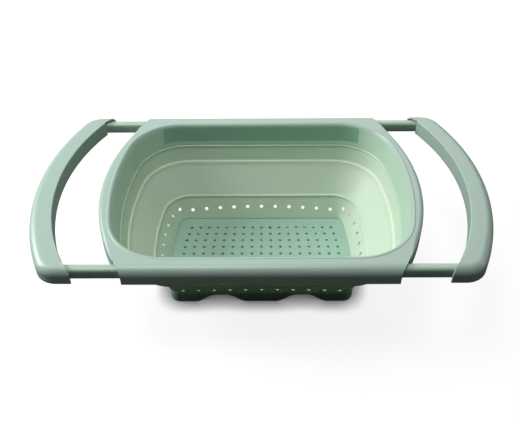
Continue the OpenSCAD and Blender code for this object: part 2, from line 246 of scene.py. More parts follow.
def shade(bm, sharp):
    """Smooths every face, and keeps an edge crisp where it turns by more than so many degrees."""
    for face in bm.faces:
        face.smooth = True
    for edge in bm.edges:
        edge.smooth = edge.calc_face_angle(0) < radians(sharp)


def make_piece(name, bm, material, body, replaces=(), sharp=38):
    """Closes up a mesh, points its faces outwards, smooths it and hands it to its body."""
    bmesh.ops.remove_doubles(bm, verts=bm.verts, dist=seam)
    bmesh.ops.recalc_face_normals(bm, faces=bm.faces)
    shade(bm, sharp)
    mesh = bpy.data.meshes.new(name)
    bm.to_mesh(mesh)
    bm.free()
    mesh.materials.append(material)
    piece = bpy.data.objects.new(name, mesh)
    bpy.context.collection.objects.link(piece)
    if body:
        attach(piece, body)
    if replaces:
        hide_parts(*replaces)
    return piece


def new_sockets(group, inputs, outputs):
    for name, kind in inputs:
        group.interface.new_socket(name, in_out="INPUT", socket_type="NodeSocket" + kind)
    for name, kind in outputs:
        group.interface.new_socket(name, in_out="OUTPUT", socket_type="NodeSocket" + kind)


def moulded_surface():
    """Node group for every moulded piece: slow flow marks in the colour, and the tool's fine spark
    texture in the roughness and the height."""
    group = bpy.data.node_groups.new("moulded_surface", "ShaderNodeTree")
    new_sockets(group, [("Base", "Color"), ("Flow", "Color"), ("Flow Amount", "Float"),
                        ("Grain Scale", "Float"), ("Polish", "Float")],
                [("Color", "Color"), ("Roughness", "Float"), ("Height", "Float")])
    nodes, links = group.nodes, group.links
    entry = nodes.new("NodeGroupInput")
    leave = nodes.new("NodeGroupOutput")
    place = nodes.new("ShaderNodeTexCoord")
    flow = nodes.new("ShaderNodeTexNoise")
    flow.inputs["Scale"].default_value = 14
    flow.inputs["Detail"].default_value = 3
    flow.inputs["Distortion"].default_value = 0.6
    grain = nodes.new("ShaderNodeTexNoise")
    grain.inputs["Detail"].default_value = 4
    grain.inputs["Roughness"].default_value = 0.6
    links.new(place.outputs["Object"], flow.inputs["Vector"])
    links.new(place.outputs["Object"], grain.inputs["Vector"])
    links.new(entry.outputs["Grain Scale"], grain.inputs["Scale"])
    amount = nodes.new("ShaderNodeMath")
    amount.operation = "MULTIPLY"
    links.new(flow.outputs["Fac"], amount.inputs[0])
    links.new(entry.outputs["Flow Amount"], amount.inputs[1])
    mix = nodes.new("ShaderNodeMix")
    mix.data_type = "RGBA"
    links.new(amount.outputs["Value"], mix.inputs["Factor"])
    links.new(entry.outputs["Base"], mix.inputs["A"])
    links.new(entry.outputs["Flow"], mix.inputs["B"])
    links.new(mix.outputs["Result"], leave.inputs["Color"])
    spread = nodes.new("ShaderNodeMapRange")
    spread.inputs["To Min"].default_value = -0.06
    spread.inputs["To Max"].default_value = 0.06
    links.new(grain.outputs["Fac"], spread.inputs["Value"])
    rough = nodes.new("ShaderNodeMath")
    rough.operation = "ADD"
    links.new(spread.outputs["Result"], rough.inputs[0])
    links.new(entry.outputs["Polish"], rough.inputs[1])
    links.new(rough.outputs["Value"], leave.inputs["Roughness"])
    links.new(grain.outputs["Fac"], leave.inputs["Height"])
    return group


surface_group = moulded_surface()


def moulded_plastic(name, base, flow, flow_amount=0.35, grain=900, polish=0.4, bump=0.06,
                    scatter=0.12, depth=3 * mm, tinge=(0.6, 1.0, 0.8)):
    """Satin moulded plastic that lets a little light into its skin."""
    material = bpy.data.materials.new(name)
    material.use_nodes = True
    nodes, links = material.node_tree.nodes, material.node_tree.links
    shader = nodes["Principled BSDF"]
    surface = nodes.new("ShaderNodeGroup")
    surface.name = "surface"
    surface.node_tree = surface_group
    surface.inputs["Base"].default_value = (*base, 1)
    surface.inputs["Flow"].default_value = (*flow, 1)
    surface.inputs["Flow Amount"].default_value = flow_amount
    surface.inputs["Grain Scale"].default_value = grain
    surface.inputs["Polish"].default_value = polish
    links.new(surface.outputs["Color"], shader.inputs["Base Color"])
    links.new(surface.outputs["Roughness"], shader.inputs["Roughness"])
    relief = nodes.new("ShaderNodeBump")
    relief.inputs["Strength"].default_value = bump
    relief.inputs["Distance"].default_value = 0.1 * mm
    links.new(surface.outputs["Height"], relief.inputs["Height"])
    links.new(relief.outputs["Normal"], shader.inputs["Normal"])
    shader.inputs["IOR"].default_value = 1.49
    shader.inputs["Specular IOR Level"].default_value = 0.6
    shader.inputs["Subsurface Weight"].default_value = scatter
    shader.inputs["Subsurface Radius"].default_value = tinge
    shader.inputs["Subsurface Scale"].default_value = depth
    return material


def paint_light_into_base(material, painted_light_mask, first, second):
    """Paints light or shade into a moulded material's colour: from one colour to another by a
    mask's value.
    """
    nodes, links = material.node_tree.nodes, material.node_tree.links
    tint = nodes.new("ShaderNodeMix")
    tint.data_type = "RGBA"
    tint.inputs["A"].default_value = (*first, 1)
    tint.inputs["B"].default_value = (*second, 1)
    links.new(painted_light_mask, tint.inputs["Factor"])
    links.new(tint.outputs["Result"], nodes["surface"].inputs["Base"])


mint = moulded_plastic("mint_plastic", (0.335, 0.45, 0.39), (0.305, 0.42, 0.36))


def smooth_step(t):
    t = min(max(t, 0), 1)
    return t * t * (3 - 2 * t)


def end_rounding(y):
    """Radius of the end's outer edge: full along the end, dying out before the rail's mouth."""
    start = 95 * mm
    least = 0.7 * mm
    return end_edge + (least - end_edge) * smooth_step((abs(y) - start) / (waist_y - start))


def frame_columns():
    """The columns of one quarter of the frame: along the curved end to the rail's mouth, then
    along the straight side to its middle."""
    side_part = CORNER_STEPS // 2 + SIDE_STEPS
    last = atan2(waist_y, end_x(waist_y) - end_centre)
    columns = []
    for i in range(END_PART + 1):
        a = last * i / END_PART
        columns.append(("end", (end_centre + end_radius * cos(a), end_radius * sin(a))))
    mouth = end_x(waist_y)
    corner_x = plan_quarter(opening)[END_STEPS + CORNER_STEPS][0]
    for i in range(side_part + 1):
        if i <= CORNER_STEPS // 2:
            x = mouth + (corner_x - mouth) * i / (CORNER_STEPS // 2)
        else:
            x = corner_x * (1 - (i - CORNER_STEPS // 2) / SIDE_STEPS)
        columns.append(("side", (x, waist_y)))
    return columns


def frame_rows():
    """Rings of points from the inner wall's foot, over the lip and the flat top, down to the
    outer foot. The column after the end's last one starts the straight rail."""
    columns = frame_columns()

    def opening_quarter(off):
        ring = plan_quarter(opening, off)
        return ring[:END_PART + 1] + ring[END_PART:]

    rows = []
    inner = 2.2 * mm
    for off, z in ((inner, z_frame), (inner, z_lip), (lip_flare(z_lip), z_lip)):
        rows.append([(x, y, z) for x, y in opening_quarter(off)])
    for step in range(1, 8):
        z = z_lip + (z_top - z_lip) * sin(pi / 2 * step / 7)
        rows.append([(x, y, z) for x, y in opening_quarter(lip_flare(z))])
    lip_out = lip_roll[0]
    for off, z in ((lip_out + 0.5 * mm, z_top - 0.12 * mm), (lip_out + 0.9 * mm, z_flat)):
        rows.append([(x, y, z) for x, y in opening_quarter(off)])
    margin = 0.5 * mm
    side_share = 0.3
    waist, foot, turn_rows = [], [], [[] for _ in range(8)]
    for kind, (x, y) in columns:
        if kind == "end":
            r = end_rounding(y)
            nx, ny = (x - end_centre) / end_radius, y / end_radius
            waist.append((x - nx * (r + margin), y - ny * (r + margin) * side_share, z_flat))
            if len(waist) == END_PART + 1:
                waist[-1] = (end_x(waist_y) - margin, waist_y, z_flat)
            for step, row in enumerate(turn_rows):
                a = pi / 2 * step / (len(turn_rows) - 1)
                off = r * (1 - sin(a))
                row.append((x - nx * off, y - ny * off * side_share,
                            z_flat - r * (1 - cos(a))))
            foot.append((x, y, z_frame))
        else:
            share = x / end_x(waist_y)
            y0 = half_depth - rail_edge
            waist.append((share * (end_x(waist_y) - margin), y, z_flat))
            for step, row in enumerate(turn_rows):
                a = pi / 2 * step / (len(turn_rows) - 1)
                yy = y0 + rail_edge * sin(a)
                row.append((share * end_x(yy), yy, z_flat - rail_edge * (1 - cos(a))))
            foot.append((share * end_x(half_depth), half_depth, z_frame))
    return rows + [waist] + turn_rows + [foot]


def whole_ring(quarter):
    """A quarter row of points, mirrored into a closed ring."""
    flat = all_quarters([(x, y) for x, y, z in quarter])
    heights = [z for x, y, z in quarter]
    z_ring = heights + heights[-2::-1] + heights[1:] + heights[-2:0:-1]
    return [(x, y, z) for (x, y), z in zip(flat, z_ring)]


def open_mouths(bm):
    """Takes away the faces between the end wall and the rail, where a rod comes out."""
    inward, reach = 0.4 * mm, 0.6 * mm
    least_x = 100 * mm
    doomed = []
    for face in bm.faces:
        middle = face.calc_center_median()
        if abs(middle.y) < waist_y + inward or abs(middle.x) < least_x:
            continue
        spans = [vert for vert in face.verts if abs(abs(vert.co.y) - waist_y) < reach]
        if any(vert.co.z < z_flat - seam for vert in spans):
            doomed.append(face)
    bmesh.ops.delete(bm, geom=doomed, context="FACES")


def frame_shell():
    bm = bmesh.new()
    draw_rings(bm, [whole_ring(row) for row in frame_rows()])
    open_mouths(bm)
    bmesh.ops.remove_doubles(bm, verts=bm.verts, dist=fine_seam)
    bmesh.ops.recalc_face_normals(bm, faces=bm.faces)
    return bm


rim_piece = make_piece("rim_frame_moulding", frame_shell(), mint, "rim_body",
                       ["rim_frame"])


def give_wall(piece):
    """Gives a moulded skin its 2 mm wall and rounds the wall's cut edges."""
    wall = piece.modifiers.new("wall", "SOLIDIFY")
    wall.thickness = shell
    wall.offset = -1
    soften = piece.modifiers.new("soften", "BEVEL")
    soften.width = 0.7 * mm
    soften.segments = 3
    soften.limit_method = "ANGLE"
    soften.angle_limit = radians(55)
    weights = piece.modifiers.new("even_shading", "WEIGHTED_NORMAL")
    weights.keep_sharp = True


give_wall(rim_piece)


def prism(bm, outline, axis, start, end):
    """Draws a flat outline out along one axis, into a closed bar."""
    def lay(point, along):
        u, v = point
        return {"X": (along, u, v), "Y": (u, along, v), "Z": (u, v, along)}[axis]

    face = bm.faces.new([bm.verts.new(lay(point, start)) for point in outline])
    drawn = bmesh.ops.extrude_face_region(bm, geom=[face], use_keep_orig=True)["geom"]
    verts = [item for item in drawn if isinstance(item, bmesh.types.BMVert)]
    way = {"X": (end - start, 0, 0), "Y": (0, end - start, 0), "Z": (0, 0, end - start)}[axis]
    bmesh.ops.translate(bm, verts=verts, vec=way)


def mirror_x_and_y(bm):
    """Copies everything to the other end, then both to the other side."""
    for turn in (Matrix.Scale(-1, 4, (1, 0, 0)), Matrix.Scale(-1, 4, (0, 1, 0))):
        copy = bmesh.ops.duplicate(bm, geom=bm.verts[:] + bm.edges[:] + bm.faces[:])["geom"]
        verts = [item for item in copy if isinstance(item, bmesh.types.BMVert)]
        bmesh.ops.transform(bm, matrix=turn, verts=verts)


wall_y0 = 121.7 * mm
channel_y0 = 123.7 * mm
channel_y1 = half_depth - shell
z_cover = z_frame + 1.5 * mm
z_channel = z_top - shell
rib = 2 * mm
rod_low, rod_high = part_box("right_rear_rod")
rod_y = (rod_low.y + rod_high.y) / 2
rod_half = (rod_high.y - rod_low.y) / 2
running_gap = 0.3 * mm
mouth_x = end_x(rod_y)
head_radius = 3 * mm
cover_screw_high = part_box("rear_cover_screws")[1]
boss_x = cover_screw_high.x - head_radius
boss_y = cover_screw_high.y - head_radius


def frame_inside():
    """Guide ribs with a slot for the rod, half of the middle rib, the block at the rail's mouth,
    and the screw boss with its webs, all in one quarter of the frame."""
    bm = bmesh.new()
    slot_half = rod_half + running_gap
    slot_top = rod_high.z + running_gap
    bend = rail_edge - shell + 0.5 * mm
    edge_y, edge_z = half_depth - rail_edge, z_flat - rail_edge
    outer = [(edge_y + bend * sin(a), edge_z + bend * cos(a)) for a in
             [pi / 2 * step / 6 for step in range(6, -1, -1)]]
    top = outer + [(channel_y0, z_channel)]
    guide = [(channel_y0, z_cover), (rod_y - slot_half, z_cover), (rod_y - slot_half, slot_top),
             (rod_y + slot_half, slot_top), (rod_y + slot_half, z_cover), (channel_y1, z_cover)]
    for from_mouth in (41 * mm, 14 * mm):
        x = mouth_x - from_mouth
        prism(bm, guide + top, "X", x, x + rib)
    prism(bm, [(channel_y0, z_cover), (channel_y1, z_cover)] + top, "X", 0, rib / 2)
    wall_start, wall_round = 104 * mm, 0.3 * mm
    box_block(bm, wall_start, end_x(channel_y0) - wall_round, wall_y0 + 0.1 * mm, channel_y0,
              z_cover, z_channel, wall_round)
    boss = bmesh.ops.create_cone(bm, cap_ends=True, segments=32, radius1=4.2 * mm,
                                 radius2=3.8 * mm, depth=z_channel - z_cover)["verts"]
    bmesh.ops.translate(bm, verts=boss, vec=(boss_x, boss_y, (z_cover + z_channel) / 2))
    web, web_reach, web_low = 0.7 * mm, 10 * mm, z_cover + 5 * mm
    box_block(bm, boss_x - web_reach, boss_x + web_reach, boss_y - web, boss_y + web, web_low,
              z_channel)
    box_block(bm, boss_x - web, boss_x + web, boss_y, channel_y0 - web, web_low, z_channel)
    mirror_x_and_y(bm)
    return bm


make_piece("rim_frame_ribs", frame_inside(), mint, "rim_body", sharp=30)

# --- Bows ----------------------------------------------------------------------------------
# Each handle ends in a curved grip, moulded in the same mint plastic as an open-bottomed
# channel with cross ribs. Its inner arc nests against the frame's end when it is pushed in.

drawn_out = 50.8 * mm
bow_outline = (259.8 * mm, half_depth, 290 * mm, 26 * mm)
z_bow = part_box("right_bow")[0].z
bow_edge = 9.5 * mm
bow_inner_edge = 1.3 * mm
FLAT_STEPS = 4


def bow_in_x(y):
    return end_x(y) + drawn_out


def bow_outer_points():
    """Half of the grip's outer edge, from the mouth's corner to its middle: points, with the
    way each one faces and how far it is sheared to follow the mouth."""
    half_x, half_y, end_r, corner_r = bow_outline
    end_c = half_x - end_r
    corner_x = end_c + sqrt((end_r - corner_r) ** 2 - (half_y - corner_r) ** 2)
    tangent = atan2(half_y - corner_r, corner_x - end_c)
    points = []
    for i in range(FLAT_STEPS):
        s = i / FLAT_STEPS
        points.append((bow_in_x(half_y) * (1 - s) + corner_x * s, half_y, 0, 1, 1 - s))
    for i in range(CORNER_STEPS + 1):
        a = pi / 2 + (tangent - pi / 2) * i / CORNER_STEPS
        points.append((corner_x + corner_r * cos(a), half_y - corner_r + corner_r * sin(a),
                       cos(a), sin(a), 0))
    for i in range(1, 2 * END_STEPS + 1):
        a = tangent * (1 - i / (2 * END_STEPS))
        points.append((end_c + end_r * cos(a), end_r * sin(a), cos(a), sin(a), 0))
    return points


def bow_inner_ys():
    """Where each column meets the inner arc, from the mouth to the middle."""
    flat, corner = 4 * mm, 14 * mm
    ys = []
    for i in range(FLAT_STEPS):
        ys.append(waist_y - flat * i / FLAT_STEPS)
    for i in range(CORNER_STEPS + 1):
        ys.append(waist_y - flat - corner * i / CORNER_STEPS)
    for i in range(1, 2 * END_STEPS + 1):
        ys.append((waist_y - (flat + corner)) * (1 - i / (2 * END_STEPS)))
    return ys


def bow_rows():
    """Rows of points from the inner wall's foot over the top to the outer foot, each from one
    mouth to the other."""
    outer, inner = bow_outer_points(), bow_inner_ys()
    rows = []

    def inner_row(off, z):
        r = end_radius + off
        row = []
        for y in inner:
            a = atan2(y, end_x(y) - end_centre)
            row.append((end_centre + drawn_out + r * cos(a), r * sin(a) if y else 0, z))
        row[0] = (bow_in_x(waist_y) + off, waist_y, z)
        return row

    def outer_row(off, z):
        row = []
        for x, y, nx, ny, shear in outer:
            lean = (bow_in_x(y - off) - bow_in_x(y)) * shear
            row.append((x - nx * off + lean, y - ny * off, z))
        return row

    rows.append(inner_row(0, z_bow))
    for step in range(4):
        a = pi / 2 * step / 3
        rows.append(inner_row(bow_inner_edge * (1 - cos(a)), z_top - bow_inner_edge * (1 - sin(a))))
    for step in range(8):
        a = pi / 2 * (1 - step / 7)
        rows.append(outer_row(bow_edge * (1 - cos(a)), z_top - bow_edge * (1 - sin(a))))
    rows.append(outer_row(0, z_bow))
    return [row + [(x, -y, z) for x, y, z in row[-2::-1]] for row in rows]


def bow_shell(side):
    bm = bmesh.new()
    draw_rings(bm, bow_rows(), closed=False)
    bmesh.ops.transform(bm, matrix=Matrix.Diagonal((side, 1, 1, 1)), verts=bm.verts)
    return bm


def bow_inside(side):
    """Cross ribs, and the saddle that a rod's end is screwed into."""
    bm = bmesh.new()
    half_x, half_y, end_r, _ = bow_outline
    rib_pitch, rib_in = half_y * 2 / 6.5, shell * 0.6
    for i in range(-2, 3):
        y = i * rib_pitch
        x0 = bow_in_x(y) + rib_in
        x1 = half_x - end_r + sqrt(end_r**2 - y * y) - rib_in
        side_view = [(x0, z_bow + 3 * mm), (x1, z_bow + 3 * mm), (x1, z_top - 6 * mm),
                     (x1 - 5 * mm, z_top - shell / 2), (x0, z_top - shell / 2)]
        prism(bm, side_view, "Y", y - shell / 2, y + shell / 2)
    x0, x1 = bow_in_x(channel_y0) + 3 * mm, rod_high.x - 7 * mm
    cheek_low = (rod_low.z + rod_high.z) / 2 - 2 * mm
    cheek_t, fit = 1.6 * mm, 0.2 * mm
    for turn in (-1, 1):
        for cheek, top in ((rod_y - rod_half - fit - cheek_t, z_channel),
                           (rod_y + rod_half + fit, z_top - 6.5 * mm)):
            box_block(bm, x0, x1, turn * cheek, turn * (cheek + cheek_t), cheek_low, top, 0.3 * mm)
        box_block(bm, x0, x1, turn * (rod_y - rod_half), turn * (rod_y + rod_half),
                  rod_high.z, z_channel, 0.2 * mm)
    bmesh.ops.transform(bm, matrix=Matrix.Diagonal((side, 1, 1, 1)), verts=bm.verts)
    return bm


for hand, side in (("left", -1), ("right", 1)):
    grip = make_piece(hand + "_bow_grip", bow_shell(side), mint, hand + "_handle",
                      [hand + "_bow"])
    give_wall(grip)
    make_piece(hand + "_bow_ribs", bow_inside(side), mint, hand + "_handle", sharp=30)

# --- Rods ----------------------------------------------------------------------------------
# Four plastic bars with well rounded edges. Each is screwed into a grip and slides in the
# frame's rail, where a block on its inner end keeps it from being pulled out.

rod_plastic = moulded_plastic("rod_plastic", (0.36, 0.49, 0.40), (0.33, 0.455, 0.37),
                              grain=1400, polish=0.34)
rod_round = 3.5 * mm

for hand in ("left", "right"):
    for depth in ("front", "rear"):
        low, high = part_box(hand + "_" + depth + "_rod")
        bm = bmesh.new()
        bar = bmesh.ops.create_cube(bm, size=1)["verts"]
        bmesh.ops.transform(bm, matrix=Matrix.Translation((low + high) / 2)
                            @ Matrix.Diagonal((*(high - low), 1)), verts=bar)
        long_edges = [edge for edge in bm.edges
                      if abs(edge.verts[0].co.x - edge.verts[1].co.x) > 0.01]
        bmesh.ops.bevel(bm, geom=long_edges, offset=rod_round, offset_type="OFFSET", segments=6,
                        profile=0.5, affect="EDGES", material=-1)
        make_piece(hand + "_" + depth + "_bar", bm, rod_plastic, hand + "_handle",
                   [hand + "_" + depth + "_rod"])

# --- Collar --------------------------------------------------------------------------------
# The hard band under the rim, moulded in a thinner and darker green. Behind its long sides stand
# the rails, so less light comes through it there; that shade is painted into its colour as a darker
# strip.

z_collar = z_top - 32 * mm
collar_foot = (162 * mm, 116.4 * mm, 330 * mm, 60 * mm)


def between(first, second, t):
    return tuple(a + (b - a) * t for a, b in zip(first, second))


def draw_profile(bm, profile):
    """Draws a closed wall round the basket: each entry is an outline, its offset and a height,
    listed round the wall's section."""
    rings = []
    for shape, off, z in profile + profile[:1]:
        rings.append([(x, y, z) for x, y in all_quarters(plan_quarter(shape, off))])
    draw_rings(bm, rings)
    bmesh.ops.remove_doubles(bm, verts=bm.verts, dist=fine_seam)


def collar_wall():
    bm = bmesh.new()
    fall = (z_lip - z_frame) / (z_lip - z_collar)
    ledge = 2.5 * mm
    profile = [(opening, lip_flare(z_lip) + 0.15 * mm, z_lip + 0.2 * mm)]
    for t in (0.02, 0.05, 0.09, 0.3, 0.5, 0.8):
        z = z_lip + (z_collar - z_lip) * t
        profile.append((between(opening, collar_foot, t), lip_flare(z), z))
    profile += [
        (between(opening, collar_foot, 0.93), 0, z_collar + 2 * mm),
        (collar_foot, -0.5 * mm, z_collar + 1.5 * mm),
        (collar_foot, -0.9 * mm, z_collar + 0.7 * mm),
        (collar_foot, -0.7 * mm, z_collar),
        (collar_foot, shell, z_collar),
        (between(opening, collar_foot, fall + 0.09), shell, z_frame - ledge),
        (opening, 3.9 * mm, z_frame - ledge),
        (opening, 4.2 * mm, z_frame - ledge + 0.3 * mm),
        (opening, 4.2 * mm, z_frame),
        (between(opening, collar_foot, fall), shell, z_frame),
        (opening, shell, z_lip + 0.2 * mm)]
    draw_profile(bm, profile)
    return bm


def collar_plastic():
    """The collar's green, with painted shade: a darker strip where a rail stands behind the wall
    and keeps light from coming through.
    """
    collar_green, painted_rail_shade = (0.37, 0.51, 0.395), (0.17, 0.345, 0.25)
    shade_x, shade_y, shade_z = (127 * mm, 125.5 * mm), (100 * mm, 104 * mm), (25 * mm, 23 * mm)
    material = moulded_plastic("collar_plastic", collar_green, (0.34, 0.47, 0.36), polish=0.42,
                               scatter=0.2)
    nodes, links = material.node_tree.nodes, material.node_tree.links
    place = nodes.new("ShaderNodeTexCoord")
    axes = nodes.new("ShaderNodeSeparateXYZ")
    links.new(place.outputs["Object"], axes.inputs["Vector"])

    def band(axis, start, end, absolute=True):
        source = axes.outputs[axis]
        if absolute:
            size = nodes.new("ShaderNodeMath")
            size.operation = "ABSOLUTE"
            links.new(source, size.inputs[0])
            source = size.outputs["Value"]
        ramp = nodes.new("ShaderNodeMapRange")
        ramp.inputs["From Min"].default_value = start
        ramp.inputs["From Max"].default_value = end
        links.new(source, ramp.inputs["Value"])
        return ramp.outputs["Result"]

    def both(first, second):
        product = nodes.new("ShaderNodeMath")
        product.operation = "MULTIPLY"
        links.new(first, product.inputs[0])
        links.new(second, product.inputs[1])
        return product.outputs["Value"]

    # Painted shade: darker where a rail behind the wall blocks the light.
    painted_light_mask = both(both(band("X", *shade_x), band("Y", *shade_y)),
                band("Z", *(z_top - down for down in shade_z), absolute=False))
    paint_light_into_base(material, painted_light_mask, collar_green, painted_rail_shade)
    return material


make_piece("basket_collar_wall", collar_wall(), collar_plastic(), "rim_body",
           ["basket_collar"])

# --- Soft wall -----------------------------------------------------------------------------
# One flexible moulding in sage-coloured rubber, overmoulded on the collar and on the base. A
# bead stands at each fold line; between the two beads the wall turns inside out when folded.

z_upper = z_top - 53 * mm
z_lower = z_top - 87 * mm
z_edge = z_top - 114.5 * mm
upper_ridge = (157 * mm, 111.5 * mm, 330 * mm, 58 * mm)
lower_ridge = (130 * mm, 81 * mm, 330 * mm, 34 * mm)
floor_edge = (112.5 * mm, 66.3 * mm, 330 * mm, 10 * mm)
soft = 1.8 * mm
drain_radius = 2.3 * mm
drain_pitch = 18.4 * mm


def soft_profile():
    """Section of the wall: down the inside from the collar to the floor, and up the outside."""
    def on_upper(t, off):
        return between(collar_foot, upper_ridge, t), off, z_collar + (z_upper - z_collar) * t

    def on_fold(t, off, drop=0.0):
        return between(upper_ridge, lower_ridge, t), off, z_upper + (z_lower - z_upper) * t - drop

    def on_lower(t, off):
        return between(lower_ridge, floor_edge, t), off, z_lower + (z_edge - z_lower) * t

    inside = [on_upper(t, 0) for t in (0, 0.2, 0.4, 0.6, 0.8, 0.89)]
    inside += [(upper_ridge, -off * mm, z_upper + up * mm) for off, up in
               ((0.3, 1.6), (1.0, 1.45), (1.7, 0.9), (2.0, 0.0), (2.1, -0.9))]
    inside += [on_fold(t / 18, 0) for t in range(2, 17)]
    inside += [on_fold(0.955, 0)]
    inside += [(lower_ridge, -off * mm, z_lower + up * mm) for off, up in
               ((0.4, 1.25), (1.1, 1.1), (1.6, 0.5), (1.5, -0.3), (1.0, -0.9))]
    inside += [on_lower(t, 0) for t in (0.08, 0.2, 0.35, 0.5, 0.65, 0.8, 0.92, 1)]
    outside = [(floor_edge, off * mm, z_edge + up * mm) for off, up in
               ((1.8, 0), (2.5, 0.1), (2.9, 0.6), (2.9, 1.2), (2.5, 1.7))]
    outside += [on_lower(t, soft) for t in (0.92, 0.75, 0.5, 0.25, 0.06)]
    outside += [(lower_ridge, off * mm, z_lower + up * mm) for off, up in
                ((2.6, 0.6), (3.8, 1.2), (4.3, 2.2), (4.3, 3.2), (3.9, 3.9))]
    outside += [on_fold(t / 18, soft * 0.8, soft * 0.65) for t in range(15, 1, -1)]
    outside += [(upper_ridge, off * mm, z_upper + up * mm) for off, up in
                ((2, -1.6), (2.6, -0.9), (2.6, 0.9), (2, 1.6))]
    outside += [on_upper(t, soft) for t in (0.8, 0.6, 0.4, 0.2, 0)]
    return inside + outside


def paint_bead_highlights(bm):
    """Marks the beads for a painted highlight: a paler colour where the beads catch the light."""
    painted_bead_highlight = bm.verts.layers.float.new("painted_bead_highlight")
    above, upper_reach, lower_reach = 0.3 * mm, 2.2 * mm, 1.6 * mm
    for vert in bm.verts:
        high = max(0, 1 - abs(vert.co.z - z_upper - above) / upper_reach)
        low = max(0, 1 - abs(vert.co.z - z_lower - above) / lower_reach)
        vert[painted_bead_highlight] = max(smooth_step(high * 1.6), 0.8 * smooth_step(low * 1.5))


def drain_cutter():
    """A peg for each drain hole, square to the wall: rows along the sides and ends, and two at
    each corner. Each row stands at its own share of the way down from the lower bead."""
    tilt = atan2(lower_ridge[1] - floor_edge[1], z_lower - z_edge)

    side_share, side_drop, end_share, corner_share = 0.48, 0.14, 0.43, 0.5
    spots = []
    for i in range(6):
        share = side_share + side_drop * (i / 5) ** 2
        half_y = between(lower_ridge, floor_edge, share)[1]
        spots.append((i * drain_pitch, half_y, pi / 2, share))
    half_x, _, end_r, _ = between(lower_ridge, floor_edge, end_share)
    for i in range(3):
        y = i * drain_pitch
        spots.append((half_x - end_r + sqrt(end_r**2 - y**2), y, 0, end_share))
    half_x, half_y, end_r, corner_r = between(lower_ridge, floor_edge, corner_share)
    corner_y = half_y - corner_r
    corner_x = half_x - end_r + sqrt((end_r - corner_r) ** 2 - corner_y**2)
    for a in (radians(52), radians(12)):
        spots.append((corner_x + corner_r * cos(a), corner_y + corner_r * sin(a), a, corner_share))
    bm = bmesh.new()
    done = set()
    for x, y, turn, share in spots:
        z = z_lower + (z_edge - z_lower) * share
        for sx in (1, -1):
            for sy in (1, -1):
                place = (round(sx * x, 5), round(sy * y, 5))
                if place in done:
                    continue
                done.add(place)
                peg = bmesh.ops.create_cone(bm, cap_ends=True, segments=20, radius1=drain_radius,
                                            radius2=drain_radius, depth=7 * soft)["verts"]
                way = atan2(sy * sin(turn), sx * cos(turn))
                stand = (Matrix.Translation((sx * x, sy * y, z)) @ Matrix.Rotation(way, 4, "Z")
                         @ Matrix.Rotation(pi / 2 + tilt, 4, "Y"))
                bmesh.ops.transform(bm, matrix=stand, verts=peg)
    return bm


def cut_away(piece, cutter_bm, sharp=38):
    """Cuts a mesh out of a piece for good, and shades it again."""
    mesh = bpy.data.meshes.new("cutter")
    cutter_bm.to_mesh(mesh)
    cutter_bm.free()
    cutter = bpy.data.objects.new("cutter", mesh)
    bpy.context.collection.objects.link(cutter)
    cut = piece.modifiers.new("cut", "BOOLEAN")
    cut.object = cutter
    cut.operation = "DIFFERENCE"
    cut.solver = "EXACT"
    graph = bpy.context.evaluated_depsgraph_get()
    result = bpy.data.meshes.new_from_object(piece.evaluated_get(graph))
    piece.modifiers.remove(cut)
    piece.data = result
    bpy.data.objects.remove(cutter)
    bm = bmesh.new()
    bm.from_mesh(result)
    shade(bm, sharp)
    bm.to_mesh(result)
    bm.free()


def sage_rubber():
    """The wall's rubber, with a painted highlight along the beads."""
    sage, bead_highlight_colour = (0.45, 0.565, 0.44), (0.57, 0.65, 0.51)
    material = moulded_plastic("sage_rubber", sage, (0.42, 0.53, 0.41), grain=700, polish=0.55,
                               bump=0.1, scatter=0.35, depth=4 * mm, tinge=(0.95, 1, 0.8))
    # Painted highlight: the beads' paler colour stands in for the light they catch.
    painted_bead_highlight = material.node_tree.nodes.new("ShaderNodeAttribute")
    painted_bead_highlight.attribute_name = "painted_bead_highlight"
    paint_light_into_base(material, painted_bead_highlight.outputs["Fac"], sage, bead_highlight_colour)
    return material


wall_mesh = bmesh.new()
draw_profile(wall_mesh, soft_profile())
paint_bead_highlights(wall_mesh)
soft_wall = make_piece("soft_folding_wall", wall_mesh, sage_rubber(), None,
                       ["upper_wall_band", "fold_wall_band", "lower_wall_band"])
cut_away(soft_wall, drain_cutter())
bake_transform(soft_wall)

# --- Base ----------------------------------------------------------------------------------
# The pierced floor and its skirt, one hard moulding in a deeper green. The skirt is cut away
# in arches between the feet, so that water runs out from under the floor.

floor_drop = 1 * mm
arch_rise = 11.3 * mm
arch_side_share = 0.4
side_arch = (17 * mm, floor_edge[0] * 0.705)
end_arch = (-floor_edge[1] * 0.47, floor_edge[1] * 0.47)
floor_pitch = 12.3 * mm
row_narrowing = 0.004
BASE_STEPS = (26, 16, 62)


def arch(along, start, end):
    """Height of an arch between two feet: an S-shaped side, a level top and the other side."""
    if not start < along < end:
        return 0
    side = arch_side_share * (end - start)
    s = min(along - start, end - along, side) / side
    return arch_rise * (1 - cos(pi * s)) / 2


def skirt_foot(x, y):
    """Height of the skirt's foot: two arches along each side and one at each end."""
    return max(arch(abs(x), *side_arch), arch(y, *end_arch))


def base_skirt():
    """The skirt's wall, listed round its section: an offset outwards, and a height above its
    scalloped foot or a depth below its top edge."""
    bm = bmesh.new()
    rows = []
    for off, above, below in ((0, None, 2.4), (0, 0.5, None), (0.5, 0, None), (1.3, 0, None),
                              (1.8, 0.4, None), (2, 1.2, None), (2, None, 1.2), (1.9, None, 0.4),
                              (1.5, None, 0), (0, None, 0), (0, None, 2.4)):
        ring = all_quarters(plan_quarter(floor_edge, off * mm, BASE_STEPS))
        if below is None:
            rows.append([(x, y, skirt_foot(x, y) + above * mm) for x, y in ring])
        else:
            rows.append([(x, y, z_edge - below * mm) for x, y in ring])
    draw_rings(bm, rows)
    bmesh.ops.remove_doubles(bm, verts=bm.verts, dist=fine_seam)
    return bm


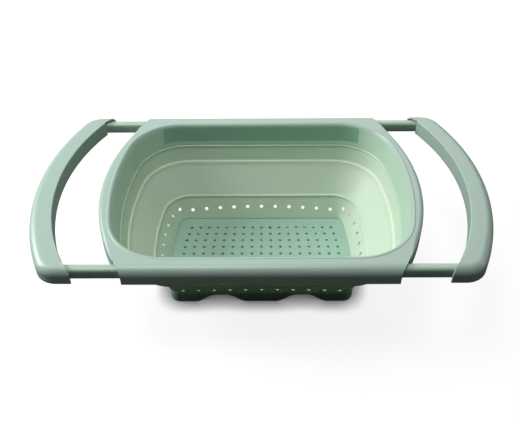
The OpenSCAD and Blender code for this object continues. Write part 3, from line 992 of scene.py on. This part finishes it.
def base_floor():
    """The floor plate, divided into small cells so that each hole is cut in a face of its own."""
    bm = bmesh.new()
    ring = all_quarters(plan_quarter(floor_edge, 0.4 * mm, BASE_STEPS))
    plate = bm.faces.new([bm.verts.new((x, y, z_edge - floor_drop)) for x, y in ring])
    drawn = bmesh.ops.extrude_face_region(bm, geom=[plate], use_keep_orig=True)["geom"]
    verts = [item for item in drawn if isinstance(item, bmesh.types.BMVert)]
    bmesh.ops.translate(bm, verts=verts, vec=(0, 0, -shell))
    for axis, count in ((Vector((1, 0, 0)), 9), (Vector((0, 1, 0)), 5)):
        for i in range(-count, count):
            bmesh.ops.bisect_plane(bm, geom=bm.verts[:] + bm.edges[:] + bm.faces[:], plane_no=axis,
                                   plane_co=axis * ((i + 0.5) * floor_pitch))
    return bm


def floor_hole_cutter():
    """A peg with a flared top for each floor hole. The rows draw in a little from the middle."""
    bm = bmesh.new()
    z = z_edge - floor_drop
    r, flare = 1.7 * mm, 0.5 * mm
    turns = [2 * pi * i / 14 for i in range(14)]
    section = ((r, z - 2 * shell), (r, z - flare), (r + flare, z), (r + flare, z + shell))
    draw_rings(bm, [[(radius * cos(a), radius * sin(a), height) for a in turns]
                    for radius, height in section])
    bmesh.ops.holes_fill(bm, edges=bm.edges, sides=0)
    bmesh.ops.recalc_face_normals(bm, faces=bm.faces)
    peg = bm.verts[:] + bm.edges[:] + bm.faces[:]
    for row in range(-4, 5):
        for column in range(-8, 9):
            if row or column:
                copy = bmesh.ops.duplicate(bm, geom=peg)["geom"]
                verts = [item for item in copy if isinstance(item, bmesh.types.BMVert)]
                row_pitch = floor_pitch * (1 - row_narrowing * row * row)
                bmesh.ops.translate(bm, verts=verts,
                                    vec=(column * row_pitch, row * floor_pitch, 0))
    return bm


deep_green = moulded_plastic("base_plastic", (0.31, 0.485, 0.39), (0.275, 0.44, 0.35),
                             polish=0.38)
make_piece("base_skirt", base_skirt(), deep_green, "base_body", ["base"])
floor_plate = make_piece("base_floor", base_floor(), deep_green, "base_body")
cut_away(floor_plate, floor_hole_cutter(), sharp=30)

# --- Covers, blocks and screws -------------------------------------------------------------
# A green strip closes each rail from below, held by two steel screws, and a block on the
# inner end of each rod stops it. One more screw holds each rod in its grip.


def screw_steel():
    material = bpy.data.materials.new("screw_steel")
    material.use_nodes = True
    nodes, links = material.node_tree.nodes, material.node_tree.links
    shader = nodes["Principled BSDF"]
    shader.inputs["Metallic"].default_value = 1
    place = nodes.new("ShaderNodeTexCoord")
    haze = nodes.new("ShaderNodeTexNoise")
    haze.inputs["Scale"].default_value = 600
    haze.inputs["Detail"].default_value = 3
    links.new(place.outputs["Object"], haze.inputs["Vector"])
    tone = nodes.new("ShaderNodeMapRange")
    tone.inputs["To Min"].default_value = 0.22
    tone.inputs["To Max"].default_value = 0.42
    links.new(haze.outputs["Fac"], tone.inputs["Value"])
    links.new(tone.outputs["Result"], shader.inputs["Roughness"])
    mix = nodes.new("ShaderNodeMix")
    mix.data_type = "RGBA"
    mix.inputs["A"].default_value = (0.5, 0.51, 0.52, 1)
    mix.inputs["B"].default_value = (0.62, 0.62, 0.61, 1)
    links.new(haze.outputs["Fac"], mix.inputs["Factor"])
    links.new(mix.outputs["Result"], shader.inputs["Base Color"])
    return material


def refinish(node, material, edge):
    """Gives a CAD node its material and a small softened edge."""
    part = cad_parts[node]
    for place in part.material_slots:
        place.material = material
    weld = part.modifiers.new("weld", "WELD")
    weld.merge_threshold = fine_seam
    soften = part.modifiers.new("soften", "BEVEL")
    soften.width = edge
    soften.segments = 2
    soften.limit_method = "ANGLE"
    soften.angle_limit = radians(40)


steel = screw_steel()
softened = 0.3 * mm
for node in ("front_rail_cover", "rear_rail_cover", "left_front_stop", "left_rear_stop",
             "right_front_stop", "right_rear_stop"):
    refinish(node, deep_green, softened)
for node in ("front_cover_screws", "rear_cover_screws", "left_bow_screws", "right_bow_screws"):
    refinish(node, steel, softened)
